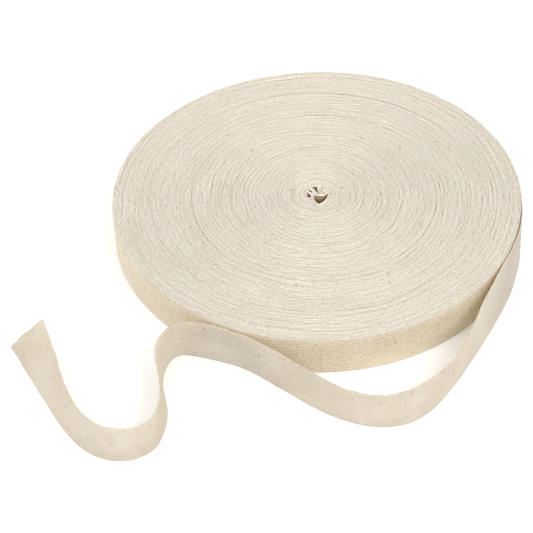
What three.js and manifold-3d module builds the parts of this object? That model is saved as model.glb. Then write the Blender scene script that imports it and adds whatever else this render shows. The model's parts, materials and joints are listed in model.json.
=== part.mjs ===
// Roll of cotton twill tape, lying on its side with its last stretch unwound in front of it.
//
// Millimetres, +Z up. The roll lies on the surface z = 0 and its axis is x = y = 0. -Y is the
// front, where the loose end lies. Angles are in degrees, counter-clockwise from +X seen from above.

import * as THREE from 'three';
import { mergeVertices } from 'three/addons/utils/BufferGeometryUtils.js';
import Module from 'manifold-3d';

// Tape
const TAPE_WIDTH = 25.4; // one inch, which is the roll's height too
const SHEET = 1.0; // thickness of the loose end
const GAP = 0.4; // between the loose end and the roll

// Wound roll
const ROLL_RADIUS = 120.9;
const OVALITY = 0.44; // what the radius gains along X and loses along Y
const LOBE_HEIGHT = 0.55; // three soft lobes round the rim
const LOBE_ANGLE = 45;
const ROOT_ANGLE = -3; // where the outermost turn leaves the roll
const ROOT_STEP = SHEET + GAP; // the rim steps in here by one turn
const RIM_STEPS = 120; // sides of the rim, all round

// Main grooves of the upper face, where the turns sit lower than their neighbours
const GROOVES = [
  { radius: 14.5, width: 4.5, depth: 0.9 },
  { radius: 23.5, width: 2.5, depth: 0.5 },
  { radius: 38.5, width: 2.5, depth: 0.5 },
  { radius: 51, width: 3, depth: 0.9 },
  { radius: 63, width: 2.5, depth: 0.5 },
  { radius: 77.5, width: 2.5, depth: 0.5 },
  { radius: 89, width: 2.5, depth: 0.5 },
  { radius: 97.5, width: 2.5, depth: 0.6 },
  { radius: 112.5, width: 3, depth: 0.7 },
];
const GROOVE_STEPS = 60;

// Voids of the eye, where the first folds of tape leave the roll open right through
const FRONT_VOID = [[-1.8, -1.6], [2.4, -1.9], [6.1, -1.9], [3.2, -6.9], [0.5, -9], [-1.4, -5.6]];
const BACK_VOID = [[-2.8, 6.7], [1.4, 6.8], [0.9, 1.7], [-0.8, 3.6]];
const LEFT_VOID = [[-6.2, 2.6], [-3.4, 0.2], [-2.9, -2.6], [-5.0, -1.7]];
const VOID_STEPS = 18;

// Route of the loose end: plan of the edge that stands on the surface, from the roll to the cut
// end, and how far the tape leans there, in degrees. A positive lean is to the left of its run.
const ROUTE = [
  { x: 119.5, y: -21, lean: -1 },
  { x: 117, y: -37, lean: -3.4 },
  { x: 112.5, y: -52.5, lean: -7.2 },
  { x: 107.5, y: -66, lean: -11.4 },
  { x: 93, y: -94, lean: -10 },
  { x: 77, y: -120.5, lean: -2 },
  { x: 65.5, y: -137.5, lean: 1 },
  { x: 54, y: -151, lean: -2 },
  { x: 42, y: -159, lean: -3 },
  { x: 26.5, y: -161, lean: 0 },
  { x: 10, y: -156.5, lean: 0 },
  { x: -7, y: -146.5, lean: -3 },
  { x: -27, y: -130, lean: -4 },
  { x: -46.5, y: -115, lean: -3 },
  { x: -67.5, y: -106.5, lean: -6 },
  { x: -79.5, y: -103.5, lean: -2 },
  { x: -85, y: -106, lean: -1 },
  { x: -89, y: -113.5, lean: -4 },
  { x: -90.5, y: -124.5, lean: -6 },
  { x: -87.5, y: -147, lean: -5 },
  { x: -89, y: -159, lean: -2 },
  { x: -94, y: -171, lean: 0 },
  { x: -104, y: -177.5, lean: 0 },
  { x: -118, y: -177.5, lean: -3 },
  { x: -131, y: -170, lean: -7 },
  { x: -143, y: -155, lean: -14 },
  { x: -155.5, y: -133, lean: -27 },
  { x: -177, y: -93, lean: -54 },
];
const ROUTE_STEPS = 5; // sections from one row of the route to the next
const CUT_SLANT = 3; // how far the cut end runs back along the upper edge

const OVERCUT = 1; // how far what is cut away reaches past a face

const ROLL_COLOUR = 0xe3dbc9;
const ROLL_ROUGHNESS = 0.95;
const LOOSE_COLOUR = 0xe0d7c4;
const LOOSE_ROUGHNESS = 0.9;

const wasm = await Module();
wasm.setup();

function radians(degrees) {
  return THREE.MathUtils.degToRad(degrees);
}

function polar(radius, degrees) {
  return new THREE.Vector2(radius * Math.cos(radians(degrees)), radius * Math.sin(radians(degrees)));
}

// Radius of the rim at an angle. The outermost turn ends at ROOT_ANGLE and runs clockwise, so
// the rim grows clockwise from there by one step over a whole turn.
function rimRadius(degrees) {
  const turn = THREE.MathUtils.euclideanModulo(ROOT_ANGLE - degrees, 360) / 360;
  return fullRadius(degrees) - ROOT_STEP * (1 - turn);
}

function fullRadius(degrees) {
  const oval = OVALITY * Math.cos(radians(2 * degrees));
  const lobes = LOBE_HEIGHT * Math.cos(radians(3 * (degrees - LOBE_ANGLE)));
  return ROLL_RADIUS + oval + lobes;
}

// Booleans

function toSolid(geometry) {
  geometry.deleteAttribute('normal');
  geometry.deleteAttribute('uv');
  const merged = mergeVertices(geometry);
  const mesh = new wasm.Mesh({
    numProp: 3,
    vertProperties: new Float32Array(merged.attributes.position.array),
    triVerts: new Uint32Array(merged.index.array),
  });
  mesh.merge();
  return new wasm.Manifold(mesh);
}

function toGeometry(solid) {
  const mesh = solid.getMesh();
  const geometry = new THREE.BufferGeometry();
  geometry.setAttribute('position', new THREE.BufferAttribute(new Float32Array(mesh.vertProperties), 3));
  geometry.setIndex(new THREE.BufferAttribute(new Uint32Array(mesh.triVerts), 1));
  geometry.computeVertexNormals();
  return geometry;
}

// Wound roll

// The rim from the foot of the root's step, clockwise to its outer corner
function rimShape() {
  const points = [];
  for (let i = 0; i < RIM_STEPS; i += 1) {
    const angle = ROOT_ANGLE - (360 * i) / RIM_STEPS;
    points.push(polar(rimRadius(angle), angle));
  }
  points.push(polar(fullRadius(ROOT_ANGLE), ROOT_ANGLE));
  return new THREE.Shape(points);
}

function discSolid() {
  return toSolid(new THREE.ExtrudeGeometry(rimShape(), { depth: TAPE_WIDTH, bevelEnabled: false }));
}

// A ring with a V section that opens upwards past the upper face
function grooveSolid({ radius, width, depth }) {
  const halfWidth = (width / 2) * (1 + OVERCUT / depth);
  const profile = [
    new THREE.Vector2(radius, TAPE_WIDTH - depth),
    new THREE.Vector2(radius + halfWidth, TAPE_WIDTH + OVERCUT),
    new THREE.Vector2(radius - halfWidth, TAPE_WIDTH + OVERCUT),
    new THREE.Vector2(radius, TAPE_WIDTH - depth),
  ];
  const ring = new THREE.LatheGeometry(profile, GROOVE_STEPS);
  ring.rotateX(Math.PI / 2);
  return toSolid(ring);
}

function voidSolid(corners) {
  const points = corners.map(([x, y]) => new THREE.Vector3(x, y, 0));
  const outline = new THREE.CatmullRomCurve3(points, true, 'centripetal').getPoints(VOID_STEPS);
  outline.pop();
  const shape = new THREE.Shape(outline.map((point) => new THREE.Vector2(point.x, point.y)));
  const prism = new THREE.ExtrudeGeometry(shape, { depth: TAPE_WIDTH + 2 * OVERCUT, bevelEnabled: false });
  prism.translate(0, 0, -OVERCUT);
  return toSolid(prism);
}

function woundRoll() {
  let roll = discSolid();
  for (const groove of GROOVES) {
    roll = roll.subtract(grooveSolid(groove));
  }
  for (const corners of [FRONT_VOID, BACK_VOID, LEFT_VOID]) {
    roll = roll.subtract(voidSolid(corners));
  }
  return toGeometry(roll);
}

// Loose end

// Where the middle of the tape starts, just clear of the step in the rim
function rootPoint() {
  const angle = ROOT_ANGLE - THREE.MathUtils.radToDeg(GAP / ROLL_RADIUS);
  return polar(rimRadius(angle) + GAP + SHEET / 2, angle);
}

// Sections of the tape from the root to the cut end. Each has its foot on the surface, the unit
// vector across the tape, up from the foot, and the unit normal of its left-hand face.
function looseSections() {
  const root = rootPoint();
  const rows = [{ x: root.x, y: root.y, lean: 0 }, ...ROUTE];
  const plan = new THREE.CatmullRomCurve3(
    rows.map(({ x, y }) => new THREE.Vector3(x, y, 0)), false, 'centripetal');
  const leans = new THREE.CatmullRomCurve3(
    rows.map(({ lean }) => new THREE.Vector3(lean, 0, 0)), false, 'catmullrom');
  const lastRow = (rows.length - 2) / (rows.length - 1);
  const count = (rows.length - 1) * ROUTE_STEPS;
  const sections = [];
  for (let i = 0; i <= count; i += 1) {
    const t = i / count;
    const along = plan.getTangent(t);
    const left = new THREE.Vector3(-along.y, along.x, 0);
    const lean = radians(leans.getPoint(t).x);
    const up = new THREE.Vector3(0, 0, Math.cos(lean)).addScaledVector(left, Math.sin(lean));
    const normal = new THREE.Vector3().crossVectors(up, along);
    const foot = plan.getPoint(t);
    foot.z = (SHEET / 2) * Math.abs(normal.z);
    const endShare = Math.max(0, (t - lastRow) / (1 - lastRow));
    const top = foot.clone().addScaledVector(up, TAPE_WIDTH);
    top.addScaledVector(along, -CUT_SLANT * endShare ** 2);
    sections.push({ foot, top, normal });
  }
  return sections;
}

// A closed strip of four-sided sections with flat ends
function looseEnd() {
  const sections = looseSections();
  const positions = [];
  for (const { foot, top, normal } of sections) {
    const corners = [[foot, 1], [foot, -1], [top, -1], [top, 1]];
    for (const [point, side] of corners) {
      positions.push(...point.clone().addScaledVector(normal, (side * SHEET) / 2).toArray());
    }
  }
  const index = [0, 1, 2, 0, 2, 3];
  for (let i = 0; i < sections.length - 1; i += 1) {
    for (let j = 0; j < 4; j += 1) {
      const a = 4 * i + j;
      const b = 4 * i + ((j + 1) % 4);
      index.push(a, a + 4, b + 4, a, b + 4, b);
    }
  }
  const last = 4 * (sections.length - 1);
  index.push(last, last + 2, last + 1, last, last + 3, last + 2);
  const geometry = new THREE.BufferGeometry();
  geometry.setAttribute('position', new THREE.Float32BufferAttribute(positions, 3));
  geometry.setIndex(index);
  geometry.computeVertexNormals();
  return geometry;
}

// Assembly

function part(name, geometry, colour, roughness) {
  const material = new THREE.MeshStandardMaterial({ color: colour, roughness, metalness: 0 });
  const mesh = new THREE.Mesh(geometry, material);
  mesh.name = name;
  return mesh;
}

const twillTape = new THREE.Group();
twillTape.add(part('wound_roll', woundRoll(), ROLL_COLOUR, ROLL_ROUGHNESS));
twillTape.add(part('loose_end', looseEnd(), LOOSE_COLOUR, LOOSE_ROUGHNESS));

export default twillTape;
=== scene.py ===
# Roll of cotton twill tape, lying on its side with its last stretch unwound in front of it.
import json
import math

import bpy
import numpy as np
from mathutils import Matrix, Vector

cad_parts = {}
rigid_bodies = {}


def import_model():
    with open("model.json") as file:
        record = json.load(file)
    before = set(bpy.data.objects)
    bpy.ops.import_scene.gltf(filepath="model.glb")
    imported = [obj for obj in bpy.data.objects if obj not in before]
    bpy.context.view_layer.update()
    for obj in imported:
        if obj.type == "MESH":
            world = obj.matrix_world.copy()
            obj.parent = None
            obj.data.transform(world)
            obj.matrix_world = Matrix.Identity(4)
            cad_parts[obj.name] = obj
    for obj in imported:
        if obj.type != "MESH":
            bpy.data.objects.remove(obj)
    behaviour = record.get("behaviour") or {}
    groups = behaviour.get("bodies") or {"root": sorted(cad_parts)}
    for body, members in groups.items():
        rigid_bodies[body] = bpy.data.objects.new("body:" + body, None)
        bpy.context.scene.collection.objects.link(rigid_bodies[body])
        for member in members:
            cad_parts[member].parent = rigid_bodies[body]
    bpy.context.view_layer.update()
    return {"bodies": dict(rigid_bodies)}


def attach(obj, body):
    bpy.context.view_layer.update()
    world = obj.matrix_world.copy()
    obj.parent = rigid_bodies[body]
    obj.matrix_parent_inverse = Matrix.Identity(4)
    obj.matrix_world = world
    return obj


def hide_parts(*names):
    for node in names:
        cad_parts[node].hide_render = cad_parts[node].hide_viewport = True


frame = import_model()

# Sizes are in millimetres here and go into Blender in metres
MM = 0.001
BODY = next(iter(frame["bodies"]))
RNG = np.random.default_rng(7)

# Tape
TAPE_WIDTH = 25.4
TAPE_THICK = 0.7
TWILL_ALONG = 1.33  # pitch of the twill lines along the tape
TWILL_ACROSS = 2.1  # and across it
RIB_PITCH = 1.6  # ribs along the tape, which break the twill lines into dots
CHEVRON = 6.35  # width of one herringbone stripe
LOOP_PITCH = 1.33  # loops of the crosswise thread at the selvedge

# Wound roll
ROLL_RADIUS = 120.9
OVALITY = 0.44  # what the radius gains along X and loses along Y
LOBE_HEIGHT = 0.55  # three soft lobes round the rim
LOBE_ANGLE = 45
ROOT_ANGLE = -3  # where the outermost turn leaves the roll
FIRST_RADIUS = 8.2  # mean radius at which the first round turn starts
TURNS = round((ROLL_RADIUS - TAPE_THICK - FIRST_RADIUS) / TAPE_THICK)
VALLEY = 0.15  # how deep the line between two turns lies
SHOULDER = 0.05  # how far a turn's edge has rounded off on the way there
UPPER_LEVEL = TAPE_WIDTH - 0.25  # mean heights of the two flat faces
LOWER_LEVEL = 0.3
SKIRT = 1.0
LINES = 4  # to a turn: valley, shoulder, crest and shoulder
DEPTH_LINES = 8  # lines to each side that a point's depth is measured against

# How far up or down each noise shifts a turn: three of its own, two shared with its neighbours
OWN_FINE = 0.09
OWN_SHORT = 0.08
OWN_LONG = 0.08
SHARED_RINGS = 0.05
SHARED_BROAD = 0.08

# How far in and out the turns wander, from the eye's surroundings to the rim's
WANDER_BY = 0.2
WANDER_FROM = 12  # radius where that starts
WANDER_RISE = 10  # what it grows over
WANDER_CLEAR = 2  # how far short of the rim it ends
WANDER_FALL = 6  # what it fades over

# Patches of the two flat faces: the turns that each covers, and its columns all round
PATCHES = [
    {"name": "eye", "first": 0, "last": 50, "upper": 220, "lower": 100},
    {"name": "inner", "first": 50, "last": 95, "upper": 400, "lower": 150},
    {"name": "outer", "first": 95, "last": 128, "upper": 540, "lower": 180},
    {"name": "rim", "first": 128, "last": TURNS, "upper": 620, "lower": 200},
]

# Grooves where some turns sit lower than their neighbours, over a part of the circle
GROOVE_FADE = 12
GROOVES = [
    {"radius": 14.6, "width": 1.5, "depth": 0.5, "start": 0, "end": 360},
    {"radius": 23.7, "width": 0.9, "depth": 0.25, "start": 0, "end": 360},
    {"radius": 38.8, "width": 0.8, "depth": 0.3, "start": 255, "end": 345},
    {"radius": 42.3, "width": 0.7, "depth": 0.25, "start": 345, "end": 420},
    {"radius": 45.3, "width": 0.7, "depth": 0.25, "start": 235, "end": 305},
    {"radius": 51.2, "width": 0.9, "depth": 0.5, "start": 175, "end": 365},
    {"radius": 55.5, "width": 0.8, "depth": 0.3, "start": 195, "end": 470},
    {"radius": 63.5, "width": 0.8, "depth": 0.3, "start": 150, "end": 330},
    {"radius": 67.5, "width": 0.7, "depth": 0.25, "start": 0, "end": 120},
    {"radius": 70.5, "width": 0.7, "depth": 0.3, "start": 280, "end": 350},
    {"radius": 78.0, "width": 0.8, "depth": 0.35, "start": 225, "end": 265},
    {"radius": 84.6, "width": 0.8, "depth": 0.3, "start": 200, "end": 225},
    {"radius": 89.2, "width": 0.8, "depth": 0.3, "start": 285, "end": 315},
    {"radius": 90.7, "width": 0.8, "depth": 0.3, "start": 70, "end": 110},
    {"radius": 97.7, "width": 0.9, "depth": 0.3, "start": 40, "end": 110},
    {"radius": 96.7, "width": 0.8, "depth": 0.3, "start": 295, "end": 335},
    {"radius": 101.8, "width": 0.8, "depth": 0.3, "start": 280, "end": 325},
    {"radius": 110.8, "width": 0.8, "depth": 0.3, "start": 10, "end": 50},
    {"radius": 112.8, "width": 1.0, "depth": 0.35, "start": 195, "end": 280},
    {"radius": 114.4, "width": 1.2, "depth": 0.5, "start": 70, "end": 115},
    {"radius": 115.3, "width": 0.8, "depth": 0.3, "start": 340, "end": 435},
    {"radius": 117.8, "width": 0.8, "depth": 0.35, "start": 60, "end": 165},
]

# The tape's flat side at the rim and in the eye: rows as shares of its width
SIDE_NEAR = (0, 0.01, 0.03, 0.06)  # close to an edge
SIDE_FIRST = 0.1  # where the even rows start
SIDE_ROWS = 21
SIDE_ROUND = 0.03  # how far from an edge it rounds off
SIDE_SLACK = 0.05  # uneven bulge along the tape
SIDE_WAVES = 0.06  # bulge in broad waves, this many times shorter across the tape
SIDE_SHORTER = 4
PALE_FROM = 0.45  # share of a turn from the root at which the rim leaves its painted bounce light and starts to get paler
PALE_OVER = 0.4

# Eye of the roll: where its first round turn lies, all round
EYE_FADE = 7.0
EYE_OUTLINE = [
    {"angle": 0, "radius": 7.8},
    {"angle": 45, "radius": 7.2},
    {"angle": 90, "radius": 7.0},
    {"angle": 120, "radius": 7.0},
    {"angle": 150, "radius": 7.4},
    {"angle": 180, "radius": 8.2},
    {"angle": 205, "radius": 8.4},
    {"angle": 225, "radius": 7.0},
    {"angle": 245, "radius": 6.6},
    {"angle": 262, "radius": 8.4},
    {"angle": 275, "radius": 9.5},
    {"angle": 290, "radius": 9.2},
    {"angle": 310, "radius": 8.5},
    {"angle": 335, "radius": 8.0},
]

# Crumpled first layers of tape in the eye
EYE_REACH = 11.5
EYE_CELL = 0.16  # grid that they are worked out on
EYE_LAP = 0.5  # how far the layers reach under the first round turn
EYE_TURN = 60  # length of a layer that counts as one turn of tape
FOLD_THICK = 1.1  # from one crumpled layer to the next
FOLD_WAVER = 0.25  # how far in or out the layers waver, as a share of that
FOLD_SWAY = 0.25  # how far up or down they sway
FOLD_PHASE = 7.7  # radians of that sway from one layer to the next
FOLD_WAVE = 2.5  # millimetres of a layer to a radian of it
LIP = 0.3  # width of the level lip round a hollow
DIP = {"x": 4.3, "y": 3.6, "depth": 0.15, "spread": 6}  # where the layers sag
SEAM_WIDTH = 0.6  # where they sink towards the first round turn
SEAM_DEPTH = 0.1

# Hollows between those layers, as corners of their plan. A ledge is a layer that bulges into a
# hollow, that far down
OUTLINE_STEPS = 12  # from one corner of a hollow to the next
OUTLINE_STEP = 0.35  # about as long as one of those steps
WALL_ROWS = 120
WALL_LAYER = 1.5  # the layers of tape that show one below the other in a hollow
WALL_NARROWER = 0.08  # how far they stand in, as a share of the way to its middle
WALL_LIP = 1 / 12  # share of the depth over which that starts
WALL_BULGE = 0.12  # uneven bulge halfway down
WALL_PHASE = 0.4  # radians of that to a step of the outline
LEDGE_SLOPE = 0.5
LEDGE_LAP = 0.05  # how far the ledge reaches into the wall
LEDGE_CROWN = 0.75  # how far down the ledge's middle is, as a share of its edge
EYE_VOIDS = [
    {"name": "front", "ledge": None, "corners": [
        (-1.8, -1.0), (1.6, -1.7), (4.2, -1.5), (6.5, 0.3), (5.9, -1.9), (4.2, -5.4),
        (2.3, -7.4), (0.6, -8.3), (-0.4, -7.1), (-1.4, -5.1), (-2.1, -3.8), (-1.6, -2.4)]},
    {"name": "back", "ledge": 5.0, "corners": [
        (-2.7, 6.5), (-1.0, 7.0), (0.5, 6.7), (0.3, 4.6), (0.6, 2.9), (1.7, 1.7),
        (0.2, 2.2), (-0.8, 3.8), (-1.5, 5.3)]},
    {"name": "left", "ledge": None, "corners": [
        (-6.1, 2.1), (-5.0, 1.2), (-3.5, -1.0), (-4.0, -2.5), (-5.6, -2.0), (-5.6, 0.0)]},
    {"name": "slit", "ledge": 4.0, "corners": [
        (-5.0, 4.1), (-3.9, 4.1), (-2.8, 2.3), (-3.0, 1.7), (-4.2, 2.9)]},
]

# Loose end
LOOSE_LENGTH = 520
LOOSE_STEP = 1.0
LOOSE_CELLS = 24  # across the tape
ROUTE_STEPS = 40
ROOT_OVERLAP = 0.3
PALE_FADE = 30  # length from the root over which the rim's paler tone ends; near the root it is painted light that evens out the loose end against the rim
FREE_OVER = 60  # length from the root over which the tape's own waves start
CUP = 0.25  # bulge between its edges
RIPPLE = 0.12  # sway of its upper edge
SELVEDGE = 0.16  # unevenness of its edges
CUT_SLANT = 3  # how far the cut end runs back along the upper edge
CUT_REACH = 19  # length over which the threads turn to that slant
CUT_FRAY = 0.25
FRAY_FROM = 900  # the stretch of the fine noise that the cut takes
FRAY_LENGTH = 40

# Route of the loose end: plan of its lower edge, and its lean to the left of its run in degrees
ROUTE = [
    {"x": 119.5, "y": -21, "lean": -1},
    {"x": 117, "y": -37, "lean": -3.4},
    {"x": 112.5, "y": -52.5, "lean": -7.2},
    {"x": 107.5, "y": -66, "lean": -11.4},
    {"x": 93, "y": -94, "lean": -10},
    {"x": 77, "y": -120.5, "lean": -2},
    {"x": 65.5, "y": -137.5, "lean": 1},
    {"x": 54, "y": -151, "lean": -2},
    {"x": 42, "y": -159, "lean": -3},
    {"x": 26.5, "y": -161, "lean": 0},
    {"x": 10, "y": -156.5, "lean": 0},
    {"x": -7, "y": -146.5, "lean": -3},
    {"x": -27, "y": -130, "lean": -4},
    {"x": -46.5, "y": -115, "lean": -3},
    {"x": -67.5, "y": -106.5, "lean": -6},
    {"x": -79.5, "y": -103.5, "lean": -2},
    {"x": -85, "y": -106, "lean": -1},
    {"x": -89, "y": -113.5, "lean": -4},
    {"x": -90.5, "y": -124.5, "lean": -6},
    {"x": -87.5, "y": -147, "lean": -5},
    {"x": -89, "y": -159, "lean": -2},
    {"x": -94, "y": -171, "lean": 0},
    {"x": -104, "y": -177.5, "lean": 0},
    {"x": -118, "y": -177.5, "lean": -3},
    {"x": -131, "y": -170, "lean": -7},
    {"x": -143, "y": -155, "lean": -14},
    {"x": -155.5, "y": -133, "lean": -27},
    {"x": -177, "y": -93, "lean": -54},
]

# Colours, linear. A shade is painted shade, the darker colour put in the hollows between the threads
CREST = (0.905, 0.86, 0.765)  # of the turns' edges
# painted shade for the lines between the turns, for pits and for turns that sit lower than their
# neighbours
CREVICE_SHADE = (0.54, 0.45, 0.315)
CLOTH_COLOUR = (0.905, 0.882, 0.82)
CLOTH_SHADE = (0.30, 0.23, 0.14)
# painted light: the rim where the loose end stands before it, made brighter and warmer for the light
# bounced off the loose end
RIM_BOUNCE_LIT = (0.93, 0.835, 0.66)
RIM_SHADE = (0.36, 0.26, 0.15)
# the rim's tone away from the loose end, and the loose end's first stretch, where it is painted light
# that evens out the step in light at the root
PALE_COLOUR = (0.76, 0.70, 0.585)
PALE_SHADE = (0.44, 0.36, 0.25)
# painted shade: a darker, browner copy of the tape's colour for the walls of the eye's hollows
HOLLOW_SHADED_COLOUR = (0.72, 0.52, 0.29)
HOLLOW_SHADE = (0.12, 0.075, 0.03)
THROUGH = 0.40  # share of the light that the loose tape lets through
THROUGH_COLOUR = (0.98, 0.86, 0.665)
MOTTLE = (0.975, 0.97, 0.955)  # what darker patches multiply the colour by
MOTTLE_SCALE = 0.045

# Surface of the cotton
ROUGHNESS = 0.95
SPECULAR = 0.15
SHEEN = 0.12
SHEEN_ROUGHNESS = 0.6
BUMP = 0.35  # height of what the bump maps show

# Specks of seed husk
SEED = (0.24, 0.18, 0.12)
SEED_RADIUS = 0.65
SEED_NONE = 0.68  # share of the places that have none
SEED_FAINTEST = 0.25
SEED_RANGE = 0.7
STACK_SPECKS = 7.5  # from one place to the next
CLOTH_SPECKS = 5.5

# Camera, fitted to the roll's rim in the photograph
FRAME_PX = 533
FOCAL_PX = 1643.3
SENSOR = 36.0
CAMERA_ELEVATION = 43.79
CAMERA_ROLL = -1.91
CAMERA_DISTANCE = 992.8
CAMERA_ASIDE = -30.56
CAMERA_ABOVE = -24.73

# Studio, in metres and watts
LIGHT_SIZE = 1.4
LIGHTS = [
    {"name": "key_left", "place": (-1.4, -1.4, 2.3), "power": 18},
    {"name": "key_right", "place": (1.4, -1.4, 2.3), "power": 35},
]
WORLD_STRENGTH = 1.0
FLOOR_REACH = 6.0
FLOOR_COLOUR = (0.97, 0.97, 0.97)


# Curves

def cubic(a, b, start, end, w):
    """From a to b, with the slopes start and end there."""
    return a + start * w + (3 * (b - a) - 2 * start - end) * w**2 + (2 * (a - b) + start + end) * w**3


def closed_spline(rows, degrees):
    """A smooth closed curve of radius against angle through the rows."""
    at = np.array([row["angle"] for row in rows], float)
    value = np.array([row["radius"] for row in rows], float)
    at = np.concatenate([at - 360, at, at + 360])
    value = np.tile(value, 3)
    k = np.searchsorted(at, degrees % 360, side="right") - 1
    w = (degrees % 360 - at[k]) / (at[k + 1] - at[k])
    start = (value[k + 1] - value[k - 1]) / 2
    end = (value[k + 2] - value[k]) / 2
    return cubic(value[k], value[k + 1], start, end, w)


def spline_through(points, steps, centripetal, closed=False):
    """A Catmull-Rom curve through points, with steps samples in each interval."""
    points = np.asarray(points, float)
    first, last = 2 * points[0] - points[1], 2 * points[-1] - points[-2]
    if closed:
        p = np.concatenate([points[-1:], points, points[:2]])
    else:
        p = np.concatenate([[first], points, [last]])
    gap = np.linalg.norm(np.diff(p, axis=0), axis=1) ** 0.5 if centripetal else np.ones(len(p) - 1)
    samples = []
    for i in range(1, len(p) - 2):
        d0, d1, d2 = gap[i - 1:i + 2]
        start = ((p[i] - p[i - 1]) / d0 - (p[i + 1] - p[i - 1]) / (d0 + d1)) * d1 + p[i + 1] - p[i]
        end = ((p[i + 2] - p[i + 1]) / d2 - (p[i + 2] - p[i]) / (d1 + d2)) * d1 + p[i + 1] - p[i]
        w = np.arange(steps)[:, None] / steps
        samples.append(cubic(p[i], p[i + 1], start, end, w))
    return np.concatenate(samples if closed else [*samples, points[-1:]])


def even_steps(curve, step):
    """Places along a curve's length at even steps, as sample numbers, and their distances."""
    along = np.concatenate([[0], np.cumsum(np.linalg.norm(np.diff(curve[:, :2], axis=0), axis=1))])
    s = np.linspace(0, along[-1], round(along[-1] / step) + 1)
    return np.interp(s, along, np.arange(len(curve))), s


# Plan of the roll

def share_of_turn(degrees):
    """How much of a turn has gone by since the root, going clockwise."""
    return (ROOT_ANGLE - degrees) / 360


def out_of_round(degrees):
    oval = OVALITY * np.cos(np.radians(2 * degrees))
    return oval + LOBE_HEIGHT * np.cos(np.radians(3 * (degrees - LOBE_ANGLE)))


def plan_radius(turn, degrees):
    """Radius of the line under a turn. Turns are counted from the eye at the root angle."""
    even = FIRST_RADIUS + TAPE_THICK * (turn + share_of_turn(degrees))
    eye = closed_spline(EYE_OUTLINE, degrees) - FIRST_RADIUS
    near_eye = np.exp(-(((even - FIRST_RADIUS) / EYE_FADE) ** 2))
    return even + out_of_round(degrees) * (even / ROLL_RADIUS) ** 2 + eye * near_eye


def tape_length(turn):
    """Length of the tape wound up to a turn."""
    return 2 * math.pi * (FIRST_RADIUS * turn + TAPE_THICK * turn**2 / 2)


# Noise

def noise_along(scale, spacing):
    """Unit noise as a function of the distance along the tape, smooth over about scale."""
    count = int((tape_length(TURNS + 2) + LOOSE_LENGTH) / spacing) + 2
    wave = np.fft.rfftfreq(count, spacing)
    low_pass = np.exp(-4 * (wave * scale) ** 2)
    values = np.fft.irfft(np.fft.rfft(RNG.standard_normal(count)) * low_pass, count)
    values /= values.std()
    return lambda s: np.interp(s, np.arange(count) * spacing, values)


def waves(count, most_round, shortest_out, longest_out):
    """Unit noise as a function of radius and angle: gentle waves that close round the circle."""
    around = RNG.integers(-most_round, most_round + 1, count)
    outward = 2 * math.pi / RNG.uniform(shortest_out, longest_out, count)
    phase = RNG.uniform(0, 2 * math.pi, count)

    def value(radius, degrees):
        total = sum(np.cos(n * np.radians(degrees) + k * radius + p)
                    for n, k, p in zip(around, outward, phase))
        return total / math.sqrt(count / 2)

    return value


HEIGHT_FINE = noise_along(scale=2.2, spacing=0.5)
HEIGHT_SHORT = noise_along(scale=9, spacing=2.0)
HEIGHT_LONG = noise_along(scale=120, spacing=10.0)
HEIGHT_RINGS = waves(count=60, most_round=20, shortest_out=1.6, longest_out=4)
HEIGHT_BROAD = waves(count=20, most_round=5, shortest_out=40, longest_out=160)
WANDER = waves(count=24, most_round=9, shortest_out=20, longest_out=60)


# Meshes

def add_piece(name, points, faces, material, label, coordinates):
    """A smooth mesh from points in millimetres and arrays of faces, riding on the body."""
    mesh = bpy.data.meshes.new(name)
    corners = np.concatenate([np.ravel(part) for part in faces]).astype(np.int32)
    sizes = np.concatenate([np.full(len(part), part.shape[1]) for part in faces])
    starts = np.concatenate([[0], np.cumsum(sizes)[:-1]]).astype(np.int32)
    mesh.vertices.add(len(points))
    mesh.vertices.foreach_set("co", (np.asarray(points, float) * MM).ravel())
    mesh.loops.add(len(corners))
    mesh.loops.foreach_set("vertex_index", corners)
    mesh.polygons.add(len(starts))
    mesh.polygons.foreach_set("loop_start", starts)
    mesh.update(calc_edges=True)
    mesh.shade_smooth()
    layer = mesh.attributes.new(label, "FLOAT_VECTOR", "POINT")
    layer.data.foreach_set("vector", np.asarray(coordinates, np.float32).ravel())
    mesh.materials.append(material)
    piece = bpy.data.objects.new(name, mesh)
    bpy.context.scene.collection.objects.link(piece)
    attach(piece, BODY)
    return piece


def grid_faces(rows, columns, wrap=False):
    """Quads between the points of a grid. wrap joins the last column to the first."""
    i = np.arange(rows - 1)[:, None]
    j = np.arange(columns if wrap else columns - 1)[None, :]
    k = (j + 1) % columns
    corners = [i * columns + j, i * columns + k, (i + 1) * columns + k, (i + 1) * columns + j]
    return np.stack(corners, -1).reshape(-1, 4)


# Flat faces of the roll

def groove_depth(radius, degrees):
    depth = np.zeros(np.broadcast(radius, degrees).shape)
    for groove in GROOVES:
        half = (groove["end"] - groove["start"]) / 2
        away = np.abs((degrees - groove["start"] - half + 180) % 360 - 180)
        inside = np.clip((half + GROOVE_FADE - away) / GROOVE_FADE, 0, 1)
        shape = np.exp(-(((radius - groove["radius"]) / groove["width"]) ** 2))
        depth = np.maximum(depth, groove["depth"] * shape * inside)
    return depth


def shift_of(turn, degrees):
    """How far up one turn of the tape sits against the mean."""
    middle = turn + 0.5 + share_of_turn(degrees)
    s = tape_length(middle)
    radius = FIRST_RADIUS + TAPE_THICK * middle
    own = OWN_FINE * HEIGHT_FINE(s) + OWN_SHORT * HEIGHT_SHORT(s) + OWN_LONG * HEIGHT_LONG(s)
    shared = SHARED_RINGS * HEIGHT_RINGS(radius, degrees) + SHARED_BROAD * HEIGHT_BROAD(radius, degrees)
    return own + shared - groove_depth(radius, degrees)


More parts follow.
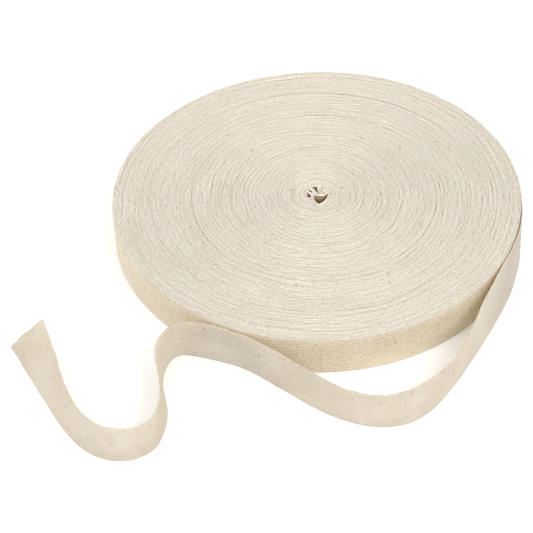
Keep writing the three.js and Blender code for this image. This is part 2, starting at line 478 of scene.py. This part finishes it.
def face_lines(turn, degrees, upper):
    """Height and radius of the lines along one face."""
    whole = np.floor(turn)
    across = turn - whole
    own = shift_of(whole, degrees)
    valley = across == 0
    shoulder = np.abs(across - 0.5) == 0.25
    if upper:
        height = np.where(valley, np.minimum(own, shift_of(whole - 1, degrees)) - VALLEY, own)
        height = UPPER_LEVEL + height - SHOULDER * shoulder
    else:
        height = np.where(valley, np.maximum(own, shift_of(whole - 1, degrees)) + VALLEY, own)
        height = LOWER_LEVEL + height + SHOULDER * shoulder
        height = np.maximum(height, 0)
    radius = plan_radius(turn, degrees)
    off_rim = np.clip((ROLL_RADIUS - WANDER_CLEAR - radius) / WANDER_FALL, 0, 1)
    free = off_rim * np.clip((radius - WANDER_FROM) / WANDER_RISE, 0, 1)
    return height, radius + WANDER_BY * free * WANDER(radius, degrees)


def circle_columns(columns):
    return ROOT_ANGLE - 360 * np.arange(columns + 1)[None, :] / columns


def ring_points(radius, degrees, z):
    angle = np.radians(degrees)
    return np.stack([radius * np.cos(angle), radius * np.sin(angle), z + 0 * radius], -1)


def face_patch(patch, upper):
    """One patch of a flat face, with a short skirt down from its two borders."""
    side = "upper" if upper else "lower"
    degrees = circle_columns(patch[side])
    first, last = LINES * patch["first"], LINES * patch["last"]
    turn = np.arange(first - DEPTH_LINES, last + 1 + DEPTH_LINES)[:, None] / LINES
    height, radius = face_lines(turn, degrees, upper)
    total = np.cumsum(np.concatenate([0 * height[:1], height]), 0)
    mean = (total[2 * DEPTH_LINES + 1:] - total[:-2 * DEPTH_LINES - 1]) / (2 * DEPTH_LINES + 1)
    height, radius, turn = (part[DEPTH_LINES:-DEPTH_LINES] for part in (height, radius, turn))
    # sunk, how far a point lies below the mean of its neighbours, is darkened by the material as painted
    # shade
    sunk = mean - height if upper else height - mean
    inward = -SKIRT if upper else SKIRT
    height = np.concatenate([height[:1] + inward, height, height[-1:] + inward])
    radius, turn, sunk = (np.concatenate([part[:1], part, part[-1:]]) for part in (radius, turn, sunk))
    points = ring_points(radius, degrees, height)
    share = share_of_turn(degrees) + 0 * turn
    tape = np.stack([turn + 0 * share, share, sunk], -1)
    faces = grid_faces(len(turn), degrees.shape[1])
    if not upper:
        faces = faces[:, ::-1]
    piece = add_piece(f"{side}_{patch['name']}", points.reshape(-1, 3), [faces], STACK,
                      "tape", tape.reshape(-1, 3))
    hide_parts("wound_roll")


def face_of_turn(name, turn, columns, bulge, outward):
    """The flat side of the tape that shows at the rim or in the eye, from one face to the other."""
    degrees = circle_columns(columns)
    top, radius = face_lines(np.array([[turn]]), degrees, True)
    bottom, _ = face_lines(np.array([[turn]]), degrees, False)
    near = np.array(SIDE_NEAR)
    even = np.linspace(SIDE_FIRST, 1 - SIDE_FIRST, SIDE_ROWS)
    rows = np.concatenate([near, even, 1 - near[::-1]])[:, None]
    z = bottom + (top - bottom) * rows
    edge = np.sqrt(np.clip(np.minimum(rows, 1 - rows) / SIDE_ROUND, 0, 1))
    slack = SIDE_SLACK * HEIGHT_SHORT(tape_length(turn + share_of_turn(degrees)))
    out = (bulge + slack) * edge + SIDE_WAVES * edge * HEIGHT_BROAD(SIDE_SHORTER * z, degrees)
    radius = radius + (out if outward else -out)
    s = tape_length(turn + share_of_turn(degrees)) + 0 * z
    # the rim keeps its painted bounce light up to PALE_FROM of a turn from the root, then gets paler
    pale = np.clip((share_of_turn(degrees) - PALE_FROM) / PALE_OVER, 0, 1)
    cloth = np.stack([s, TAPE_WIDTH * rows + 0 * s, 0 * s - pale], -1)
    count = degrees.shape[1]
    faces = grid_faces(len(rows), count)
    step = np.arange(len(rows) - 1) * count
    joint = np.stack([step + count - 1, step, step + count, step + 2 * count - 1], -1)
    faces = np.concatenate([faces, joint])
    if outward:
        faces = faces[:, ::-1]
    piece = add_piece(name, ring_points(radius, degrees, z).reshape(-1, 3), [faces],
                      RIM_CLOTH, "cloth", cloth.reshape(-1, 3))
    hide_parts("wound_roll")


# Crumpled layers in the eye

def is_inside(x, y, outline):
    """Whether points lie inside a closed outline."""
    inside = np.zeros(x.shape, bool)
    for (x0, y0), (x1, y1) in zip(outline, np.roll(outline, -1, 0)):
        if y0 != y1:
            crosses = (y0 > y) != (y1 > y)
            inside ^= crosses & (x < x0 + (x1 - x0) * (y - y0) / (y1 - y0))
    return inside


def void_outline(void):
    return spline_through(void["corners"], OUTLINE_STEPS, True, closed=True)


def eye_cap(upper):
    """The crumpled layers as seen on one face: they follow the outlines of the hollows."""
    line = np.arange(-EYE_REACH, EYE_REACH + EYE_CELL, EYE_CELL)
    x, y = np.meshgrid(line, line, indexing="ij")
    radius, degrees = np.hypot(x, y), np.degrees(np.arctan2(y, x))
    border = plan_radius(-share_of_turn(degrees), degrees)
    clear = np.full(x.shape, np.inf)
    arc = np.zeros(x.shape)
    nearest = np.stack([x, y], -1)
    inside = np.zeros(x.shape, bool)
    for void in EYE_VOIDS:
        outline = void_outline(void)
        away = np.linalg.norm(np.stack([x, y], -1)[:, :, None] - outline, axis=-1)
        pick = away.argmin(-1)
        closer = away.min(-1) < clear
        clear = np.where(closer, away.min(-1), clear)
        steps = np.linalg.norm(np.diff(outline, axis=0), axis=1)
        along = np.concatenate([[0], np.cumsum(steps)])
        arc = np.where(closer, along[pick], arc)
        nearest = np.where(closer[..., None], outline[pick], nearest)
        inside |= is_inside(x, y, outline)
    place = np.where(inside[..., None], nearest, np.stack([x, y], -1))
    clear = np.where(inside, 0, clear)
    layer = clear / FOLD_THICK + FOLD_WAVER * HEIGHT_RINGS(2 * radius, degrees) * np.clip(clear, 0, 1)
    across = layer % 1
    off_lip = np.clip(clear / LIP, 0, 1)
    own = FOLD_SWAY * np.sin(FOLD_PHASE * np.floor(layer) + arc / FOLD_WAVE) * off_lip
    off_dip = (x - DIP["x"]) ** 2 + (y - DIP["y"]) ** 2
    seam = np.clip(radius - border + SEAM_WIDTH, 0, 1)
    sunk = DIP["depth"] * np.exp(-off_dip / DIP["spread"]) + SEAM_DEPTH * seam
    drop = 2 * VALLEY * np.abs(2 * across - 1) ** 3 - own + sunk * off_lip
    z = UPPER_LEVEL - drop if upper else np.maximum(LOWER_LEVEL + drop, 0)
    faces = grid_faces(*x.shape)
    hidden = (radius > border + EYE_LAP) | inside
    faces = faces[~hidden.ravel()[faces].all(1)]
    if upper:
        faces = faces[:, ::-1]
    used, faces = np.unique(faces, return_inverse=True)
    points = np.concatenate([place, z[..., None]], -1).reshape(-1, 3)[used]
    # the third coordinate, how far a point drops, is darkened by the material as painted shade
    tape = np.stack([layer, arc / EYE_TURN, drop - VALLEY], -1).reshape(-1, 3)[used]
    side = "upper" if upper else "lower"
    piece = add_piece(f"{side}_crumple", points, [faces.reshape(-1, 4)], STACK,
                      "tape", tape)
    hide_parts("wound_roll")


def void_wall(void):
    """The tape's flat side all round one hollow, and the ledge in it."""
    outline = void_outline(void)
    rows = np.linspace(0, 1, WALL_ROWS)[:, None]
    top = UPPER_LEVEL - VALLEY
    z = top + (LOWER_LEVEL + VALLEY - top) * rows + 0 * outline[None, :, 0]
    middle = outline.mean(0)
    number = np.arange(len(outline))
    bulge = WALL_BULGE * np.sin(math.pi * rows) * np.sin(number * WALL_PHASE)
    layers = 1 + np.sin(2 * math.pi * (TAPE_WIDTH * rows / WALL_LAYER))
    waist = bulge - WALL_NARROWER * np.clip(rows / WALL_LIP, 0, 1) * layers
    plan = outline[None] + (outline - middle)[None] * waist[..., None]
    points = np.concatenate([plan, z[..., None]], -1).reshape(-1, 3)
    faces = [grid_faces(len(rows), len(outline), wrap=True)]
    s = number * OUTLINE_STEP
    # third coordinate: depth down the hollow, which the material darkens as painted shade
    cloth = np.stack([s[None, :] + 0 * z, TAPE_WIDTH * rows + 0 * z, rows + 0 * z], -1).reshape(-1, 3)
    if void["ledge"]:
        low = top - void["ledge"] + LEDGE_SLOPE * (outline[:, 0] - middle[0])
        ledge = np.column_stack([outline + LEDGE_LAP * (outline - middle), low])
        first = len(points)
        points = np.concatenate([points, ledge, [[*middle, top - LEDGE_CROWN * void["ledge"]]]])
        cloth = np.concatenate([cloth, ledge * (1, 1, 0), [[*middle, 0]]])
        ring = first + number
        faces.append(np.stack([ring, np.roll(ring, -1), np.full(len(ring), first + len(ring))], -1))
    turned = np.cross(outline[1] - outline[0], middle - outline[0]) < 0
    if turned:
        faces = [part[:, ::-1] for part in faces]
    piece = add_piece("void_" + void["name"], points, faces, HOLLOW_SHADED_CLOTH, "cloth", cloth)
    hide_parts("wound_roll")


# Ribbons of tape standing on edge

def across_ribbon(width, cells):
    """Rows across a ribbon, close together at its rounded edges, with its half thickness there."""
    half = TAPE_THICK / 2
    near = np.array([0, 0.15, 0.5, 1.0]) * half
    rows = np.concatenate([near, np.linspace(half, width - half, cells + 1)[1:-1], width - near[::-1]])
    to_edge = np.minimum(np.minimum(rows, width - rows) / half, 1)
    return rows, half * np.sqrt(1 - (1 - to_edge) ** 2)


def ribbon(middle, normal, thick):
    """Closed mesh of a ribbon from its middle surface. Its rows run up, its sections along."""
    offset = normal * thick[..., None]
    left = middle + offset
    right = middle - offset
    points = np.concatenate([left, right[:, -2:0:-1]], 1)
    sections, count = points.shape[:2]
    rows = middle.shape[1]
    inner = np.arange(1, rows - 2)
    quads = np.stack([inner, inner + 1, count - inner - 1, count - inner], -1)
    tips = np.array([[0, 1, count - 1], [rows - 2, rows - 1, rows]])
    last = (sections - 1) * count
    ends = [quads[:, ::-1], quads + last, tips[:, ::-1], tips + last]
    return points, [grid_faces(sections, count, wrap=True), *ends]


def both_sides(values):
    return np.concatenate([values, values[:, -2:0:-1]], 1)


def loose_end():
    """The unwound end: one ribbon along the route, leaning as it goes and cut a little slanted."""
    root_radius = ROLL_RADIUS + out_of_round(ROOT_ANGLE) - TAPE_THICK / 2
    root = math.radians(ROOT_ANGLE) + ROOT_OVERLAP / ROLL_RADIUS
    plan = [(root_radius * math.cos(root), root_radius * math.sin(root))]
    plan += [(row["x"], row["y"]) for row in ROUTE]
    curve = spline_through(plan, ROUTE_STEPS, True)
    leans = spline_through([[0]] + [[row["lean"]] for row in ROUTE], ROUTE_STEPS, False)[:, 0]
    at, s = even_steps(curve, LOOSE_STEP)
    number = np.arange(len(curve))
    foot = np.stack([np.interp(at, number, curve[:, 0]), np.interp(at, number, curve[:, 1]), 0 * s], -1)
    lean = np.radians(np.interp(at, number, leans))
    along = np.gradient(foot, axis=0)
    along /= np.linalg.norm(along, axis=1)[:, None]
    left = np.stack([-along[:, 1], along[:, 0], 0 * s], -1)
    up = np.array([0, 0, 1]) * np.cos(lean)[:, None] + left * np.sin(lean)[:, None]
    normal = np.cross(up, along)
    foot[:, 2] = TAPE_THICK / 2 * np.abs(normal[:, 2])
    rows, thick = across_ribbon(TAPE_WIDTH, LOOSE_CELLS)
    share = rows[None, :] / TAPE_WIDTH
    edge = SELVEDGE * HEIGHT_FINE(s)[:, None] * (np.abs(2 * share - 1) ** 6) * np.sign(share - 0.5)
    free = np.clip(s / FREE_OVER, 0, 1)[:, None]
    cup = CUP * free * (4 * share * (1 - share)) * HEIGHT_LONG(4 * s)[:, None]
    ripple = RIPPLE * free * HEIGHT_SHORT(s)[:, None] * np.clip(2 * share - 1, 0, 1)
    near_cut = np.clip(1 - (s[-1] - s) / CUT_REACH, 0, 1)[:, None] ** 2
    fray = CUT_FRAY * near_cut * HEIGHT_FINE(FRAY_FROM + FRAY_LENGTH * share)
    back = CUT_SLANT * near_cut * share + fray
    rise = rows[None, :] + np.maximum(edge, 0)
    middle = (foot[:, None] + up[:, None] * rise[..., None] + normal[:, None] * (cup + ripple)[..., None]
              - along[:, None] * back[..., None])
    points, faces = ribbon(middle, normal[:, None] + 0 * middle, thick[None, :] + 0 * rise)
    # the first stretch takes the rim's paler tone, painted light that evens out the root
    pale = np.clip(1 - s / PALE_FADE, 0, 1)[:, None]
    cloth = np.stack([s[:, None] - back, rows[None, :] + 0 * back, 0 * back - pale], -1)
    piece = add_piece("loose_tape", points.reshape(-1, 3), faces, LOOSE_CLOTH,
                      "cloth", both_sides(cloth).reshape(-1, 3))
    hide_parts("loose_end")


# Materials

class Nodes:
    """Short calls for making shader nodes in one material."""

    def __init__(self, name):
        self.material = bpy.data.materials.new(name)
        self.material.use_nodes = True
        self.tree = self.material.node_tree
        self.shader = self.tree.nodes["Principled BSDF"]

    def node(self, kind, inputs=(), **settings):
        made = self.tree.nodes.new(kind)
        for key, value in settings.items():
            setattr(made, key, value)
        for socket, value in dict(inputs).items():
            self.feed(made.inputs[socket], value)
        return made

    def feed(self, socket, value):
        if isinstance(value, bpy.types.NodeSocket):
            self.tree.links.new(value, socket)
        else:
            socket.default_value = value

    def math(self, operation, *values):
        return self.node("ShaderNodeMath", dict(enumerate(values)), operation=operation).outputs[0]

    def noise(self, vector, scale, detail=2.0):
        inputs = {"Vector": vector, "Scale": scale, "Detail": detail}
        return self.node("ShaderNodeTexNoise", inputs).outputs["Fac"]

    def vector(self, x, y, z=0.0):
        return self.node("ShaderNodeCombineXYZ", {0: x, 1: y, 2: z}).outputs[0]

    def grain(self, s, along, side, detail=2.0):
        """Noise that changes over about the length along. side is its place across the tape."""
        return self.noise(self.vector(self.math("DIVIDE", s, along), side), 1.0, detail)

    def blend(self, factor, first, second, mode="MIX"):
        made = self.node("ShaderNodeMix", data_type="RGBA", blend_type=mode)
        for socket, value in (("Factor_Float", factor), ("A_Color", first), ("B_Color", second)):
            target = next(i for i in made.inputs if i.identifier == socket)
            self.feed(target, (*value, 1) if isinstance(value, tuple) else value)
        return next(o for o in made.outputs if o.identifier == "Result_Color")

    def ramp(self, value, low, high, smooth=True):
        """0 below low, 1 above high."""
        kind = "SMOOTHSTEP" if smooth else "LINEAR"
        inputs = {"Value": value, "From Min": low, "From Max": high}
        return self.node("ShaderNodeMapRange", inputs, interpolation_type=kind).outputs["Result"]

    def seeds(self, place, spacing):
        """Sparse specks of seed husk, each a millimetre or less across."""
        cells = self.node("ShaderNodeTexVoronoi", {"Vector": place, "Scale": 1 / spacing},
                          voronoi_dimensions="2D")
        chance = self.node("ShaderNodeSeparateColor", {0: cells.outputs["Color"]}).outputs
        size = self.math("MULTIPLY", self.ramp(chance[0], SEED_NONE, 1.0, False), SEED_RADIUS / spacing)
        inside = self.math("SUBTRACT", size, cells.outputs["Distance"])
        strength = self.math("MULTIPLY_ADD", chance[1], SEED_RANGE, SEED_FAINTEST)
        return self.math("MULTIPLY", self.ramp(inside, 0.0, 0.02), strength)

    def finish(self, colour, height, place, spacing):
        """Adds what all the cotton has, with place in millimetres and specks about spacing apart."""
        colour = self.blend(self.seeds(place, spacing), colour, SEED)
        mottle = self.ramp(self.noise(place, MOTTLE_SCALE, 3.0), 0.3, 0.7)
        colour = self.blend(mottle, colour, self.blend(1.0, colour, MOTTLE, "MULTIPLY"))
        self.feed(self.shader.inputs["Base Color"], colour)
        self.shader.inputs["Roughness"].default_value = ROUGHNESS
        self.shader.inputs["Specular IOR Level"].default_value = SPECULAR
        self.shader.inputs["Sheen Weight"].default_value = SHEEN
        self.shader.inputs["Sheen Roughness"].default_value = SHEEN_ROUGHNESS
        bump = self.node("ShaderNodeBump", {"Height": height, "Distance": BUMP * MM})
        self.feed(self.shader.inputs["Normal"], bump.outputs["Normal"])
        return self.material


def stack_material():
    """The roll's flat faces: selvedge loops along each turn, and painted shade: brown lines between the
    turns, dark pits and darker sunk turns.
    """
    m = Nodes("wound_edges")
    tape = m.node("ShaderNodeAttribute", attribute_name="tape").outputs["Vector"]
    turn, share, sunk = m.node("ShaderNodeSeparateXYZ", {0: tape}).outputs
    whole = m.math("FLOOR", turn)
    across = m.math("FRACT", turn)
    middle = m.math("ADD", m.math("ADD", whole, share), 0.5)
    square = m.math("MULTIPLY", m.math("MULTIPLY", middle, middle), math.pi * TAPE_THICK)
    s = m.math("MULTIPLY_ADD", middle, 2 * math.pi * FIRST_RADIUS, square)
    jitter = m.grain(s, 5.0, 0.0)
    phase = m.math("ADD", m.math("DIVIDE", s, LOOP_PITCH), m.math("MULTIPLY", jitter, 2.5))
    loop = m.math("SINE", m.math("MULTIPLY", phase, 2 * math.pi))
    uneven = m.grain(s, 1.6, m.math("MULTIPLY", across, 0.9), 3.0)
    away = m.math("ABSOLUTE", m.math("SUBTRACT", across, 0.5))
    crown = m.math("SUBTRACT", 1.0, m.ramp(away, 0.2, 0.5))
    height = m.math("MULTIPLY", crown, m.math("MULTIPLY_ADD", loop, 0.3, m.math("MULTIPLY", uneven, 2.2)))
    gap = m.grain(s, 4.0, 3.0)
    # Painted shade: patchy along the lines between the turns, in the pits of the uneven noise, and where
    # a point sits below its neighbours
    depth = m.math("MULTIPLY", m.ramp(away, 0.32, 0.5), m.ramp(gap, 0.45, 0.7))
    pit_shade = m.math("MULTIPLY", m.ramp(uneven, 0.42, 0.25), 0.6)
    low = m.ramp(m.math("MULTIPLY_ADD", uneven, -1.8, m.math("ADD", sunk, 0.9)), -0.3, 0.6, False)
    colour = m.blend(m.math("MAXIMUM", m.math("MAXIMUM", depth, pit_shade), low), CREST, CREVICE_SHADE)
    place = m.node("ShaderNodeTexCoord").outputs["Object"]
    place = m.node("ShaderNodeVectorMath", {0: place, 1: (1 / MM, 1 / MM, 0)}, operation="MULTIPLY")
    return m.finish(colour, height, place.outputs[0], STACK_SPECKS)


def let_through(m, share, colour):
    """Some of the light that falls on one side of the cloth goes on through it."""
    through = m.node("ShaderNodeBsdfTranslucent", {"Color": (*colour, 1)})
    mixed = m.node("ShaderNodeMixShader", {0: share, 1: m.shader.outputs[0], 2: through.outputs[0]})
    m.feed(m.tree.nodes["Material Output"].inputs["Surface"], mixed.outputs[0])


def cloth_material(name, light, shade, thin=False):
    """The tape's flat side: herringbone twill in four stripes, with uneven threads and painted shade in
    the hollows of the weave.
    """
    m = Nodes(name)
    cloth = m.node("ShaderNodeAttribute", attribute_name="cloth").outputs["Vector"]
    s, w, deep = m.node("ShaderNodeSeparateXYZ", {0: cloth}).outputs
    sway = m.grain(s, 9.0, m.math("DIVIDE", w, 5.0))
    stripe = m.math("PINGPONG", w, CHEVRON)
    slanted = m.math("MULTIPLY_ADD", stripe, 1 / TWILL_ACROSS, m.math("DIVIDE", s, TWILL_ALONG))
    twill = m.math("SINE", m.math("MULTIPLY", m.math("MULTIPLY_ADD", sway, 0.8, slanted), 2 * math.pi))
    rib = m.math("SINE", m.math("MULTIPLY", w, 2 * math.pi / RIB_PITCH))
    weave = m.math("MULTIPLY_ADD", rib, 0.7, twill)
    uneven = m.grain(s, 2.4, m.math("DIVIDE", w, 0.5), 3.0)
    height = m.math("MULTIPLY_ADD", uneven, 1.4, m.math("MULTIPLY", weave, 0.5))
    hollow = m.ramp(weave, 0.1, -1.2)
    weave_shade = m.math("MULTIPLY", hollow, m.ramp(uneven, 0.8, 0.3))
    patchy = m.ramp(m.grain(s, 45.0, m.math("DIVIDE", w, 30.0)), 0.35, 0.65)
    weave_shade = m.math("MULTIPLY", weave_shade, m.math("MULTIPLY_ADD", patchy, 0.7, 0.65))
    # pale: the rim's paler tone away from the loose end, and the loose end's first stretch, where it is
    # painted light that evens out the root; there no light goes through
    pale = m.ramp(deep, 0.0, -1.0)
    light = m.blend(pale, light, PALE_COLOUR)
    shade = m.blend(pale, shade, PALE_SHADE)
    # Painted shade: the hollows of the weave, and on the walls of the eye's hollows everything below 0.3
    # of their depth
    colour = m.blend(m.math("MAXIMUM", weave_shade, m.ramp(deep, 0.0, 0.3)), light, shade)
    if thin:
        let_through(m, m.math("MULTIPLY", m.math("SUBTRACT", 1.0, pale), THROUGH), THROUGH_COLOUR)
    return m.finish(colour, height, m.vector(s, w), CLOTH_SPECKS)


STACK = stack_material()
RIM_CLOTH = cloth_material("wound_cloth", RIM_BOUNCE_LIT, RIM_SHADE)
LOOSE_CLOTH = cloth_material("loose_cloth", CLOTH_COLOUR, CLOTH_SHADE, thin=True)
HOLLOW_SHADED_CLOTH = cloth_material("hollow_cloth", HOLLOW_SHADED_COLOUR, HOLLOW_SHADE)

for patch in PATCHES:
    face_patch(patch, True)
    face_patch(patch, False)
face_of_turn("rim_face", TURNS, columns=620, bulge=0.12, outward=True)
face_of_turn("eye_wall", 0, columns=120, bulge=0.05, outward=False)
eye_cap(True)
eye_cap(False)
for void in EYE_VOIDS:
    void_wall(void)
loose_end()


# Studio

def floor():
    mesh = bpy.data.meshes.new("floor")
    corners = [(-1, -1), (1, -1), (1, 1), (-1, 1)]
    mesh.from_pydata([(FLOOR_REACH * x, FLOOR_REACH * y, 0) for x, y in corners], [], [(0, 1, 2, 3)])
    material = bpy.data.materials.new("pale_floor")
    material.use_nodes = True
    shader = material.node_tree.nodes["Principled BSDF"]
    shader.inputs["Base Color"].default_value = (*FLOOR_COLOUR, 1)
    shader.inputs["Roughness"].default_value = 1.0
    shader.inputs["Specular IOR Level"].default_value = 0.0
    mesh.materials.append(material)
    piece = bpy.data.objects.new("floor", mesh)
    bpy.context.scene.collection.objects.link(piece)


def area_light(name, place, power):
    """A round light that shines on the roll's middle."""
    light = bpy.data.lights.new(name, "AREA")
    light.shape = "DISK"
    light.size = LIGHT_SIZE
    light.energy = power
    lamp = bpy.data.objects.new(name, light)
    lamp.location = place
    lamp.rotation_euler = (-Vector(place)).to_track_quat("-Z", "Y").to_euler()
    bpy.context.scene.collection.objects.link(lamp)


def studio():
    world = bpy.data.worlds.new("studio")
    world.use_nodes = True
    world.node_tree.nodes["Background"].inputs["Color"].default_value = (1, 1, 1, 1)
    world.node_tree.nodes["Background"].inputs["Strength"].default_value = WORLD_STRENGTH
    bpy.context.scene.world = world
    for light in LIGHTS:
        area_light(**light)
    bpy.context.scene.view_settings.view_transform = "Standard"
    bpy.context.scene.view_settings.look = "None"


def camera():
    e = math.radians(CAMERA_ELEVATION)
    roll = math.radians(CAMERA_ROLL)
    back = Vector((0, -math.cos(e), math.sin(e)))
    level = Vector((1, 0, 0))
    upright = Vector((0, math.sin(e), math.cos(e)))
    right = math.cos(roll) * level + math.sin(roll) * upright
    up = -math.sin(roll) * level + math.cos(roll) * upright
    place = back * CAMERA_DISTANCE + right * CAMERA_ASIDE + up * CAMERA_ABOVE
    data = bpy.data.cameras.new("camera")
    data.sensor_width = SENSOR
    data.lens = FOCAL_PX * SENSOR / FRAME_PX
    data.clip_start = 0.01
    data.clip_end = 50
    view = bpy.data.objects.new("camera", data)
    view.matrix_world = Matrix.Translation(place * MM) @ Matrix((right, up, back)).transposed().to_4x4()
    bpy.context.scene.collection.objects.link(view)
    bpy.context.scene.camera = view


floor()
studio()
camera()
